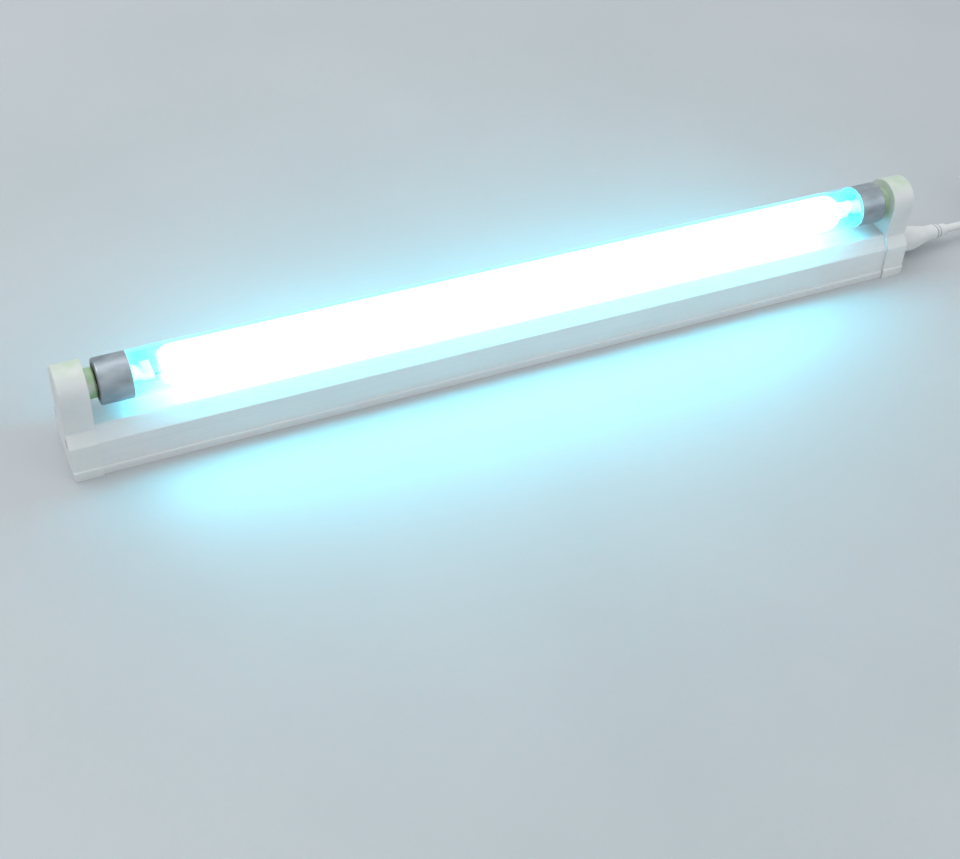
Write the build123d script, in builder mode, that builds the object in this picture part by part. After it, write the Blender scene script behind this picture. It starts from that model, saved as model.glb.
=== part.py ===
from build123d import *
from math import radians, tan
import os

# A tube lamp on a slim batten. A quartz tube plugs in between two end caps with arched heads,
# the batten below it holds the ballast, and the cord plugs into the right-hand end.
# Millimetres, +X along the tube towards the cord, +Z up. The origin is on the surface that the
# batten stands on, below the middle of the tube.

os.makedirs("parts", exist_ok=True)

# Lamp
lamp_length = 288.0  # between the outer faces of the two metal caps
axis_height = 27.4
tube_diameter = 15.0
glass_wall = 1.0
neck_diameter = 13.4
neck_length = 6.0
shoulder_length = 1.0
shoulder_radius = 0.5
cap_diameter = 14.8
cap_length = 10.2
cap_wall = 0.5
cap_lip = 1.4
cap_edge_radius = 0.7
disc_thickness = 1.5
pin_diameter = 2.36
pin_spacing = 4.75
pin_length = 7.0
pin_tip = 0.4
rivet_diameter = 3.4
rivet_thickness = 0.5

# Glass stem and cathode inside each end of the tube
flare_length = 3.0
flare_rim = 1.0
stem_diameter = 6.0
stem_length = 5.0
press_width = 8.0
press_thickness = 2.2
press_taper = 2.5
press_length = 2.7
press_corner = 0.7
exhaust_diameter = 2.0
exhaust_play = 0.25
lead_diameter = 0.6
lead_reach = 2.2
cathode_diameter = 1.0
cathode_length = 7.4

# Batten section
base_height = 16.5
top_width = 13.2
shoulder_width = 20.8
shoulder_height = 12.1
side_width = 21.9
foot_width = 23.0
foot_height = 2.6
foot_bevel = 0.3
batten_edge_radius = 0.8
housing_wall = 1.4
plate_thickness = 1.6
tongue_thickness = 0.8
groove_depth = 0.9
rib_depth = 0.9
rib_thickness = 0.6
port_diameter = 3.6
port_inset = 1.7  # from the hollow's side to the screw port's axis
port_drop = 0.9  # from the shoulder to the screw port's axis
notch_length = 4.6
notch_width = 8.4

# End caps
end_gap = 3.3  # from a metal cap's face to the head beside it
end_thickness = 9.0
end_proud = 0.7
end_edge_radius = 0.6
head_width = 16.0
head_wall = 1.6
head_side_wall = 1.4
pocket_depth = 6.0
boss_diameter = 9.6
boss_play = 0.3
boss_chamfer = 0.5
contact_diameter = 3.4
contact_length = 3.6
tail_width = 1.8
tail_thickness = 0.4
tail_from_end = 1.2  # from the sleeve's end to the tail's near face
tail_below_wire = 1.0
screw_diameter = 2.0
screw_length = 9.0
screw_head_diameter = 4.0
screw_head_thickness = 1.3
screw_head_radius = 0.4
screw_recess = 1.5

# Inlet in the right-hand end cap
inlet_height = 5.6
inlet_width = 8.6
inlet_tall = 4.2
inlet_corner = 1.4
inlet_depth = 7.3
inlet_wall = 1.0
inlet_back = 1.5
inlet_pin_diameter = 1.6
inlet_pin_spacing = 4.4
inlet_pin_reach = 5.8  # how far a pin stands out of the inlet's back wall
inlet_tail_run = 3.8  # from the inlet's back to where the pin turns down to the board
inlet_pin_bend = 1.2
inlet_pin_stub = 0.6

# Ballast
board_length = 132.0
board_thickness = 1.0
board_gap = 1.0
board_play = 0.15
wire_diameter = 1.2
wire_bend = 3.0
wire_top_gap = 0.5
pad_inset = 5.0
right_pad_inset = 10.0
choke_length = 10.4
choke_depth = 5.0
choke_height = 9.8
choke_yoke = 1.8
choke_leg = 2.6
choke_side_leg = 1.5
winding_play = 0.1
winding_bulge = 2.2
winding_corner = 1.4
film_step = 11.0
film_size = (7.2, 4.2, 6.6)
film_edge_radius = 0.8
transistor_step = 8.0
transistor_diameter = 4.8
transistor_flat = 1.3
transistor_height = 5.0
transistor_legs = 1.4
transistor_leg = 0.5
transistor_leg_step = 1.27
toroid_diameter = 9.0
toroid_bore = 4.6
toroid_height = 4.4
toroid_edge_radius = 0.9
smoothing_diameter = 8.0
smoothing_length = 13.0
smoothing_crimp = 0.4
smoothing_crimp_from_end = 2.0
diode_step = 3.6
diode_diameter = 2.6
diode_length = 5.2
diode_offset = 3.6
fuse_diameter = 2.6
fuse_length = 7.0
fuse_edge_radius = 0.4
fuse_offset = 5.0

# Cord connector, cord, hank and plug
connector_width = 10.0
connector_tall = 6.6
connector_corner = 2.2
connector_body = 10.7
connector_taper = 8.5
neck_width = 6.0
neck_tall = 5.2
neck_corner = 2.3
grip_length = 4.0
relief_length = 5.0
relief_diameter = 4.4
relief_grooves = 2
relief_groove_width = 0.7
relief_groove_step = 1.5
relief_groove_radius = 2.0
nose_play = 0.2
nose_end_play = 0.3
socket_wall = 0.4
socket_play = 0.04
socket_length = 7.0
cord_diameter = 3.2
hank_lift = 0.65  # the thickness of tie that the hank lies on
hank_from_exit = 41.5
hank_offset = -4.0
hank_run = 38.0
hank_fold = 9.6  # radius of the innermost turn's folds
hank_turns_wide = 2
hank_layers = 6
tie_width = 6.0
tie_thickness = 0.6
tie_play = 0.05
plug_from_exit = 125.5
plug_offset = 2.0
plug_relief_length = 13.0
plug_relief_root = 8.0
plug_length = 24.0
plug_width = 20.0
plug_tall = 16.0
plug_back_width = 13.0
plug_back_tall = 11.0
plug_corner = 5.0
plug_back_corner = 3.6
plug_edge_radius = 2.0
blade_spacing = 12.7
blade_length = 15.9
blade_width = 6.35
blade_thickness = 1.5
blade_tip_radius = 1.2
blade_hole_diameter = 3.0
blade_hole_from_tip = 4.2

# Clearances between pieces that fit together
fit = 0.1
pin_play = 0.05

# Places that follow from the sizes above
tube_axis = Axis((0, 0, axis_height), (1, 0, 0))
cap_face = lamp_length / 2
cap_rim = cap_face - cap_length
rivet_end = cap_face - cap_wall - disc_thickness - rivet_thickness
end_inner = cap_face + end_gap
end_outer = end_inner + end_thickness
pocket_end = end_inner + pocket_depth
housing_half = pocket_end - fit
hollow_foot = side_width / 2 - housing_wall
hollow_shoulder = shoulder_width / 2 - housing_wall
hollow_top = base_height - housing_wall
port_y = hollow_shoulder - port_inset
port_z = shoulder_height - port_drop
board_bottom = plate_thickness + board_gap
board_top = board_bottom + board_thickness
inlet_inner = end_outer - inlet_depth - inlet_back
board_right = inlet_inner - board_play
board_left = board_right - board_length
wire_height = hollow_top - wire_top_gap - wire_diameter / 2
tail_inner = end_inner + head_wall + contact_length - tail_from_end
connector_axis = Axis((0, 0, inlet_height), (1, 0, 0))
cord_exit = end_outer + connector_body + connector_taper + grip_length + relief_length
pin_places = [(-pin_spacing / 2, axis_height), (pin_spacing / 2, axis_height)]
port_places = [(-port_y, port_z), (port_y, port_z)]
inlet_places = [(-inlet_pin_spacing / 2, inlet_height), (inlet_pin_spacing / 2, inlet_height)]
sides = ((-1, "left"), (1, "right"))

# The parts on the board stand in a row between the wires at its two ends, with even gaps
left_pad = board_left + pad_inset
right_pad = board_right - right_pad_inset
film_run = film_step + film_size[0]
transistor_run = transistor_step + transistor_diameter
diode_run = diode_step + diode_diameter
row = [choke_length, film_run, transistor_run, toroid_diameter, smoothing_length, diode_run, fuse_length]
row_gap = (right_pad - left_pad - wire_diameter - sum(row)) / (len(row) + 1)
row_start = left_pad + wire_diameter / 2 + row_gap
row_x = [row_start + sum(row[:i]) + i * row_gap + row[i] / 2 for i in range(len(row))]
choke_x, film_x, transistor_x, toroid_x, smoothing_x, diode_x, fuse_x = row_x


def mirrored(right_half):
    """A closed outline's points from its right half, given from the bottom up."""
    return right_half + [(-y, z) for y, z in reversed(right_half)]


def hollow_half(height):
    """Half the inside width of the batten between its foot and its shoulder."""
    share = (height - foot_height) / (shoulder_height - foot_height)
    return hollow_foot + (hollow_shoulder - hollow_foot) * share


def batten_section(grow):
    """The batten's outline, grown outwards by that much except along the surface below it."""
    right_half = [
        (foot_width / 2 + grow, 0),
        (foot_width / 2 + grow, foot_height + grow),
        (side_width / 2 + grow, foot_height + foot_bevel + grow),
        (shoulder_width / 2 + grow, shoulder_height + grow / 2),
        (top_width / 2 + grow / 2, base_height + grow),
    ]
    with BuildSketch() as section:
        with BuildLine():
            Polyline(*mirrored(right_half), close=True)
        make_face()
        middle_height = (foot_height + shoulder_height) / 2
        corners = section.vertices().filter_by_position(Axis.Y, middle_height, base_height + 2 * grow + 1)
        fillet(corners, batten_edge_radius)
    return section.sketch


def arch(width, bottom):
    """The outline of a head: straight legs from that height up, and a half round about the tube's axis."""
    with BuildSketch() as outline:
        with Locations((0, axis_height)):
            Circle(width / 2)
        with Locations((0, (axis_height + bottom) / 2)):
            Rectangle(width, axis_height - bottom)
    return outline.sketch


def bend_radii(points):
    """For each corner of a cord's route, the largest arc that the runs beside it leave room for."""
    radii = []
    for before, corner, after in zip(points, points[1:], points[2:]):
        run_in = Vector(corner) - Vector(before)
        run_out = Vector(after) - Vector(corner)
        turn = run_in.get_angle(run_out)
        radii.append(0.45 * min(run_in.length, run_out.length) / tan(radians(turn / 2)))
    return radii


# Housing: one extrusion, open below, with screw ports, ribs for the board and grooves for the plate
with BuildPart() as housing:
    hollow = [
        (hollow_foot, -foot_height),
        (hollow_foot, foot_height),
        (hollow_shoulder, shoulder_height - housing_wall / 3),
        (top_width / 2 - housing_wall / 2, hollow_top),
    ]
    rib_span = rib_depth + housing_wall / 2
    rib_y = hollow_half(board_top) - rib_depth + rib_span / 2
    lower_rib_z = board_bottom - pin_play - rib_thickness / 2
    upper_rib_z = board_top + pin_play + rib_thickness / 2
    groove_z = plate_thickness - tongue_thickness / 2
    with BuildSketch(Plane.YZ.offset(-housing_half)):
        add(batten_section(0))
        with BuildLine():
            Polyline(*mirrored(hollow), close=True)
        make_face(mode=Mode.SUBTRACT)
        with Locations(*port_places):
            Circle(port_diameter / 2)
            Circle(screw_diameter / 2 + pin_play, mode=Mode.SUBTRACT)
        for rib_z in (lower_rib_z, upper_rib_z):
            with Locations((-rib_y, rib_z), (rib_y, rib_z)):
                Rectangle(rib_span, rib_thickness)
        with Locations((0, groove_z)):
            Rectangle(2 * (hollow_foot + groove_depth), tongue_thickness + 2 * fit, mode=Mode.SUBTRACT)
    extrude(amount=2 * housing_half)
    notch_x = housing_half - notch_length / 2
    with Locations((-notch_x, 0, base_height), (notch_x, 0, base_height)):
        Box(notch_length, notch_width, 3 * housing_wall, mode=Mode.SUBTRACT)
housing.part.label = "housing"
export_step(housing.part, "parts/housing.step")

# Base plate: slides into the housing's grooves from one end
with BuildPart() as base_plate:
    with BuildSketch(Plane.YZ.offset(-housing_half)):
        with Locations((0, plate_thickness / 2)):
            Rectangle(2 * (hollow_foot - fit), plate_thickness)
        with Locations((0, plate_thickness - tongue_thickness / 2)):
            Rectangle(2 * (hollow_foot + groove_depth - fit), tongue_thickness)
    extrude(amount=2 * housing_half)
base_plate.part.label = "base_plate"
export_step(base_plate.part, "parts/base_plate.step")

# End caps: a sleeve over the batten's end, an arched hollow head and a boss that the lamp's pins go into
for side, hand in sides:
    outward = Axis((0, 0, 0), (side, 0, 0))
    with BuildPart() as end_cap:
        with BuildSketch(Plane.YZ.offset(side * end_inner)):
            add(batten_section(end_proud))
            add(arch(head_width, shoulder_height))
        extrude(amount=side * end_thickness)
        fillet(end_cap.faces().sort_by(outward)[-1].edges(), end_edge_radius)
        with BuildSketch(Plane.YZ.offset(side * end_inner)):
            with Locations((0, axis_height)):
                Circle(boss_diameter / 2)
        extrude(amount=-side * (end_gap - boss_play))
        chamfer(end_cap.faces().sort_by(outward)[0].edges(), boss_chamfer)
        with BuildSketch(Plane.YZ.offset(side * end_inner)):
            add(batten_section(fit))
        extrude(amount=side * pocket_depth, mode=Mode.SUBTRACT)
        with BuildSketch(Plane.YZ.offset(side * (end_inner + head_wall))):
            add(arch(head_width - 2 * head_side_wall, base_height))
        extrude(amount=side * (end_thickness - 2 * head_wall), mode=Mode.SUBTRACT)
        with BuildSketch(Plane.YZ.offset(side * (cap_face + boss_play))):
            with Locations(*pin_places):
                Circle(pin_diameter / 2 + pin_play)
        extrude(amount=side * (end_gap - boss_play + head_wall), mode=Mode.SUBTRACT)
        with BuildSketch(Plane.YZ.offset(side * end_outer)):
            with Locations(*port_places):
                Circle(screw_head_diameter / 2 + fit)
        extrude(amount=-side * screw_recess, mode=Mode.SUBTRACT)
        with BuildSketch(Plane.YZ.offset(side * end_outer)):
            with Locations(*port_places):
                Circle(screw_diameter / 2 + fit)
        extrude(amount=-side * (end_thickness - pocket_depth), mode=Mode.SUBTRACT)
        if hand == "right":
            with BuildSketch(Plane.YZ.offset(pocket_end)):
                with Locations((0, inlet_height)):
                    RectangleRounded(inlet_width + 2 * inlet_wall, inlet_tall + 2 * inlet_wall, inlet_corner)
            extrude(amount=inlet_inner - pocket_end)
            with BuildSketch(Plane.YZ.offset(end_outer)):
                with Locations((0, inlet_height)):
                    RectangleRounded(inlet_width, inlet_tall, inlet_corner)
            extrude(amount=-inlet_depth, mode=Mode.SUBTRACT)
            with BuildSketch(Plane.YZ.offset(inlet_inner)):
                with Locations(*inlet_places):
                    Circle(inlet_pin_diameter / 2 + pin_play)
            extrude(amount=inlet_back, mode=Mode.SUBTRACT)
    end_cap.part.label = f"{hand}_end_cap"
    export_step(end_cap.part, f"parts/{hand}_end_cap.step")

# Contacts: a rolled sleeve round each lamp pin, with a flat tail down into the batten
for side, hand in sides:
    tail_bottom = wire_height - tail_below_wire
    tail_top = axis_height - (contact_diameter + pin_diameter) / 4 - pin_play / 2
    with BuildPart() as contacts:
        with BuildSketch(Plane.YZ.offset(side * (end_inner + head_wall))):
            with Locations(*pin_places):
                Circle(contact_diameter / 2)
                Circle(pin_diameter / 2 + pin_play, mode=Mode.SUBTRACT)
        extrude(amount=side * contact_length)
        with BuildSketch(Plane.YZ.offset(side * tail_inner)):
            with Locations(*[(y, (tail_bottom + tail_top) / 2) for y, z in pin_places]):
                Rectangle(tail_width, tail_top - tail_bottom)
        extrude(amount=side * tail_thickness)
    contacts.part.label = f"{hand}_contacts"
    export_step(contacts.part, f"parts/{hand}_contacts.step")

# Lead wires: from the board up to the contact tails, under the batten's roof
for side, hand in sides:
    pad_x = left_pad if hand == "left" else right_pad
    with BuildPart() as lead_wires:
        for y, z in pin_places:
            with BuildLine():
                FilletPolyline(
                    (pad_x, y, board_top),
                    (pad_x, y, wire_height),
                    (side * tail_inner, y, wire_height),
                    radius=wire_bend,
                )
            with BuildSketch(Plane.XY.offset(board_top)):
                with Locations((pad_x, y)):
                    Circle(wire_diameter / 2)
            sweep()
    lead_wires.part.label = f"{hand}_lead_wires"
    export_step(lead_wires.part, f"parts/{hand}_lead_wires.step")

# End screws: through each end cap into the housing's screw ports
for side, hand in sides:
    outward = Axis((0, 0, 0), (side, 0, 0))
    with BuildPart() as end_screws:
        with BuildSketch(Plane.YZ.offset(side * (end_outer - screw_recess))):
            with Locations(*port_places):
                Circle(screw_head_diameter / 2)
        extrude(amount=side * screw_head_thickness)
        fillet(end_screws.faces().group_by(outward)[-1].edges(), screw_head_radius)
        with BuildSketch(Plane.YZ.offset(side * (end_outer - screw_recess))):
            with Locations(*port_places):
                Circle(screw_diameter / 2)
        extrude(amount=-side * screw_length)
    end_screws.part.label = f"{hand}_end_screws"
    export_step(end_screws.part, f"parts/{hand}_end_screws.step")

# Ballast board: slides between the housing's ribs, with holes for the inlet pins' tails
board_half = hollow_half(board_top) - board_play
tail_turn = inlet_inner - inlet_tail_run
with BuildPart() as ballast_board:
    with BuildSketch(Plane.XY.offset(board_bottom)):
        with Locations(((board_left + board_right) / 2, 0)):
            Rectangle(board_length, 2 * board_half)
        with Locations(*[(tail_turn, y) for y, z in inlet_places]):
            Circle(inlet_pin_diameter / 2 + pin_play, mode=Mode.SUBTRACT)
    extrude(amount=board_thickness)
ballast_board.part.label = "ballast_board"
export_step(ballast_board.part, "parts/ballast_board.step")

# Inlet pins: out of the inlet's back wall one way, and down through the board the other
with BuildPart() as inlet_pins:
    for y, z in inlet_places:
        with BuildLine():
            FilletPolyline(
                (inlet_inner + inlet_back + inlet_pin_reach, y, z),
                (tail_turn, y, z),
                (tail_turn, y, board_bottom - inlet_pin_stub),
                radius=inlet_pin_bend,
            )
        with BuildSketch(Plane.YZ.offset(inlet_inner + inlet_back + inlet_pin_reach)):
            with Locations((y, z)):
                Circle(inlet_pin_diameter / 2)
        sweep()
inlet_pins.part.label = "inlet_pins"
export_step(inlet_pins.part, "parts/inlet_pins.step")

# Choke core: a pair of E-shaped ferrites, joined as one block with two windows
window_width = choke_length / 2 - choke_side_leg - choke_leg / 2
window_height = choke_height - 2 * choke_yoke
window_x = choke_leg / 2 + window_width / 2
choke_z = board_top + choke_height / 2
with BuildPart() as choke_core:
    with BuildSketch(Plane.XZ.offset(-choke_depth / 2)):
        with Locations((choke_x, choke_z)):
            Rectangle(choke_length, choke_height)
        with Locations((choke_x - window_x, choke_z), (choke_x + window_x, choke_z)):
            Rectangle(window_width, window_height, mode=Mode.SUBTRACT)
    extrude(amount=choke_depth)
choke_core.part.label = "choke_core"
export_step(choke_core.part, "parts/choke_core.step")

# Choke winding: fills the windows round the middle leg
with BuildPart() as choke_winding:
    with BuildSketch(Plane.XY.offset(board_top + choke_yoke + winding_play)):
        with Locations((choke_x, 0)):
            RectangleRounded(
                choke_leg + 2 * (window_width - winding_play),
                choke_depth + 2 * winding_bulge,
                winding_corner,
            )
            Rectangle(choke_leg + 2 * winding_play, choke_depth + 2 * winding_play, mode=Mode.SUBTRACT)
    extrude(amount=window_height - 2 * winding_play)
choke_winding.part.label = "choke_winding"
export_step(choke_winding.part, "parts/choke_winding.step")

# Film capacitors: two dipped blocks on the board
with BuildPart() as film_capacitors:
    with Locations((film_x - film_step / 2, 0, board_top), (film_x + film_step / 2, 0, board_top)):
        Box(*film_size, align=(Align.CENTER, Align.CENTER, Align.MIN))
    lower_edges = film_capacitors.edges().group_by(Axis.Z)[0]
    fillet([e for e in film_capacitors.edges() if e not in lower_edges], film_edge_radius)
film_capacitors.part.label = "film_capacitors"
export_step(film_capacitors.part, "parts/film_capacitors.step")

# Transistors: flat-faced round bodies on three legs
with BuildPart() as transistors:
    for body_x in (transistor_x - transistor_step / 2, transistor_x + transistor_step / 2):
        with BuildSketch(Plane.XY.offset(board_top + transistor_legs)):
            with Locations((body_x, 0)):
                Circle(transistor_diameter / 2)
            with Locations((body_x, -transistor_flat - transistor_diameter / 2)):
                Rectangle(2 * transistor_diameter, transistor_diameter, mode=Mode.SUBTRACT)
        extrude(amount=transistor_height)
        with BuildSketch(Plane.XY.offset(board_top)):
            with Locations((body_x, 0)):
                with GridLocations(transistor_leg_step, 0, 3, 1):
                    Rectangle(transistor_leg, transistor_leg)
        extrude(amount=transistor_legs)
transistors.part.label = "transistors"
export_step(transistors.part, "parts/transistors.step")

# Drive toroid: the small ring that feeds back to the transistors
with BuildPart() as drive_toroid:
    with BuildSketch(Plane.XY.offset(board_top)):
        with Locations((toroid_x, 0)):
            Circle(toroid_diameter / 2)
            Circle(toroid_bore / 2, mode=Mode.SUBTRACT)
    extrude(amount=toroid_height)
    fillet(drive_toroid.edges().group_by(Axis.Z)[-1], toroid_edge_radius)
drive_toroid.part.label = "drive_toroid"
export_step(drive_toroid.part, "parts/drive_toroid.step")

# Smoothing capacitor: a can lying on the board, crimped near one end
smoothing_z = board_top + smoothing_diameter / 2
smoothing_axis = Axis((0, 0, smoothing_z), (1, 0, 0))
with BuildPart() as smoothing_capacitor:
    can_left = smoothing_x - smoothing_length / 2
    can_right = can_left + smoothing_length
    crimp_x = can_right - smoothing_crimp_from_end
    can_top = smoothing_z + smoothing_diameter / 2
    with BuildSketch(Plane.XZ):
        with BuildLine():
            Polyline(
                (can_left, smoothing_z),
                (can_left, can_top),
                (crimp_x - smoothing_crimp, can_top),
                (crimp_x, can_top - smoothing_crimp),
                (crimp_x + smoothing_crimp, can_top),
                (can_right, can_top),
                (can_right, smoothing_z),
                close=True,
            )
        make_face()
    revolve(axis=smoothing_axis)
smoothing_capacitor.part.label = "smoothing_capacitor"
export_step(smoothing_capacitor.part, "parts/smoothing_capacitor.step")

# Rectifier diodes: four small cylinders across the board, and the fuse resistor beside them
with BuildPart() as rectifier_diodes:
    with BuildSketch(Plane.XZ.offset(-diode_offset - diode_length / 2)):
        with Locations((diode_x, board_top + diode_diameter / 2)):
            with GridLocations(diode_step, 0, 2, 1):
                Circle(diode_diameter / 2)
    extrude(amount=diode_length)
    mirror(about=Plane.XZ)
rectifier_diodes.part.label = "rectifier_diodes"
export_step(rectifier_diodes.part, "parts/rectifier_diodes.step")

with BuildPart() as fuse_resistor:
    with BuildSketch(Plane.YZ.offset(fuse_x - fuse_length / 2)):
        with Locations((-fuse_offset, board_top + fuse_diameter / 2)):
            Circle(fuse_diameter / 2)
    extrude(amount=fuse_length)
    fillet(fuse_resistor.edges().filter_by(GeomType.CIRCLE), fuse_edge_radius)
fuse_resistor.part.label = "fuse_resistor"
export_step(fuse_resistor.part, "parts/fuse_resistor.step")

# Quartz tube: open at both ends, drawn in to a neck that goes into each metal cap
neck_start = cap_rim + cap_wall / 2
neck_end = neck_start + neck_length
with BuildPart() as quartz_tube:
    outer = axis_height + tube_diameter / 2
    neck = axis_height + neck_diameter / 2
    shoulder_start = neck_start - shoulder_length
    right_half = [
        (shoulder_start, outer - glass_wall),
        (neck_start, neck - glass_wall),
        (neck_end, neck - glass_wall),
        (neck_end, neck),
        (neck_start, neck),
        (shoulder_start, outer),
    ]
    with BuildSketch(Plane.XZ) as glass_profile:
        with BuildLine():
            Polyline(*right_half, *[(-x, z) for x, z in reversed(right_half)], close=True)
        make_face()
        shoulders = glass_profile.vertices().filter_by_position(Axis.Y, outer - fit, outer + fit)
        fillet(shoulders, shoulder_radius)
    revolve(axis=tube_axis)
quartz_tube.part.label = "quartz_tube"
export_step(quartz_tube.part, "parts/quartz_tube.step")

# Stems: a flare fused into the neck, a round stem, and a flat press that the lead wires pass through
flare_radius = neck_diameter / 2 - glass_wall - pin_play
flare_end = neck_end - flare_length
exhaust_end = rivet_end - exhaust_play
stem_end = flare_end - stem_length
press_start = stem_end - press_taper
press_end = press_start - press_length
for side, hand in sides:
    with BuildPart() as stem:
        with BuildSketch(Plane.XZ):
            with BuildLine():
                Polyline(
                    (side * exhaust_end, axis_height),
                    (side * exhaust_end, axis_height + exhaust_diameter / 2),
                    (side * neck_end, axis_height + exhaust_diameter / 2),
                    (side * neck_end, axis_height + flare_radius),
                    (side * (neck_end - flare_rim), axis_height + flare_radius),
                    (side * flare_end, axis_height + stem_diameter / 2),
                    (side * stem_end, axis_height + stem_diameter / 2),
                    (side * stem_end, axis_height),
                    close=True,
                )
            make_face()
        revolve(axis=tube_axis)
        with BuildSketch(Plane.YZ.offset(side * stem_end)):
            with Locations((0, axis_height)):
                Circle(stem_diameter / 2)
        with BuildSketch(Plane.YZ.offset(side * press_start)):
            with Locations((0, axis_height)):
                RectangleRounded(press_width, press_thickness, press_corner)
        loft()
        with BuildSketch(Plane.YZ.offset(side * press_start)):
            with Locations((0, axis_height)):
                RectangleRounded(press_width, press_thickness, press_corner)
        extrude(amount=-side * press_length)
        with BuildSketch(Plane.YZ.offset(side * press_end)):
            with Locations(*pin_places):
                Circle(lead_diameter / 2 + pin_play)
        extrude(amount=side * (neck_end - press_end), mode=Mode.SUBTRACT)
    stem.part.label = f"{hand}_stem"
    export_step(stem.part, f"parts/{hand}_stem.step")

# Lead-in wires: from the lamp's pins through the stem to the cathode
lead_end = press_end - lead_reach
for side, hand in sides:
    with BuildPart() as lead_ins:
        with BuildSketch(Plane.YZ.offset(side * lead_end)):
            with Locations(*pin_places):
                Circle(lead_diameter / 2)
        extrude(amount=side * (rivet_end - lead_end))
    lead_ins.part.label = f"{hand}_lead_ins"
    export_step(lead_ins.part, f"parts/{hand}_lead_ins.step")

# Cathodes: a coil of fine wire across the ends of the two lead-in wires
for side, hand in sides:
    with BuildPart() as cathode:
        with BuildSketch(Plane.XZ.offset(-cathode_length / 2)):
            with Locations((side * (lead_end - cathode_diameter / 2), axis_height)):
                Circle(cathode_diameter / 2)
        extrude(amount=cathode_length)
    cathode.part.label = f"{hand}_cathode"
    export_step(cathode.part, f"parts/{hand}_cathode.step")

# Metal caps: a drawn cup over the neck, its end turned in over the insulating disc
cap_outer = axis_height + cap_diameter / 2
cap_inner = cap_outer - cap_wall
lip_edge = cap_outer - cap_lip
for side, hand in sides:
    with BuildPart() as lamp_cap:
        with BuildSketch(Plane.XZ) as cup_profile:
            with BuildLine():
                Polyline(
                    (side * cap_rim, cap_inner),
                    (side * cap_rim, cap_outer),
                    (side * cap_face, cap_outer),
                    (side * cap_face, lip_edge),
                    (side * (cap_face - cap_wall), lip_edge),
                    (side * (cap_face - cap_wall), cap_inner),
                    close=True,
                )
            make_face()
            face_side = Axis((0, 0, 0), (side, 0, 0))
            outer_corner = cup_profile.vertices().group_by(face_side)[-1].sort_by(Axis.Y)[-1]
            fillet(outer_corner, cap_edge_radius)
        revolve(axis=tube_axis)
    lamp_cap.part.label = f"{hand}_lamp_cap"
    export_step(lamp_cap.part, f"parts/{hand}_lamp_cap.step")

# Insulating discs: behind each cap's lip, raised in the middle to lie flush with it
for side, hand in sides:
    with BuildPart() as cap_disc:
        with BuildSketch(Plane.YZ.offset(side * (cap_face - cap_wall))):
            with Locations((0, axis_height)):
                Circle(cap_diameter / 2 - cap_wall - fit)
        extrude(amount=-side * disc_thickness)
        with BuildSketch(Plane.YZ.offset(side * (cap_face - cap_wall))):
            with Locations((0, axis_height)):
                Circle(cap_diameter / 2 - cap_lip - fit)
        extrude(amount=side * cap_wall)
        with BuildSketch(Plane.YZ.offset(side * cap_face)):
            with Locations(*pin_places):
                Circle(pin_diameter / 2 + pin_play)
        extrude(amount=-side * (cap_wall + disc_thickness), mode=Mode.SUBTRACT)
    cap_disc.part.label = f"{hand}_cap_disc"
    export_step(cap_disc.part, f"parts/{hand}_cap_disc.step")

# Lamp pins: riveted through the disc
for side, hand in sides:
    outward = Axis((0, 0, 0), (side, 0, 0))
    with BuildPart() as lamp_pins:
        with BuildSketch(Plane.YZ.offset(side * rivet_end)):
            with Locations(*pin_places):
                Circle(rivet_diameter / 2)
        extrude(amount=side * rivet_thickness)
        with BuildSketch(Plane.YZ.offset(side * rivet_end)):
            with Locations(*pin_places):
                Circle(pin_diameter / 2)
        extrude(amount=side * (cap_face + pin_length - rivet_end))
        chamfer(lamp_pins.faces().group_by(outward)[-1].edges(), pin_tip)
    lamp_pins.part.label = f"{hand}_lamp_pins"
    export_step(lamp_pins.part, f"parts/{hand}_lamp_pins.step")

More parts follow.
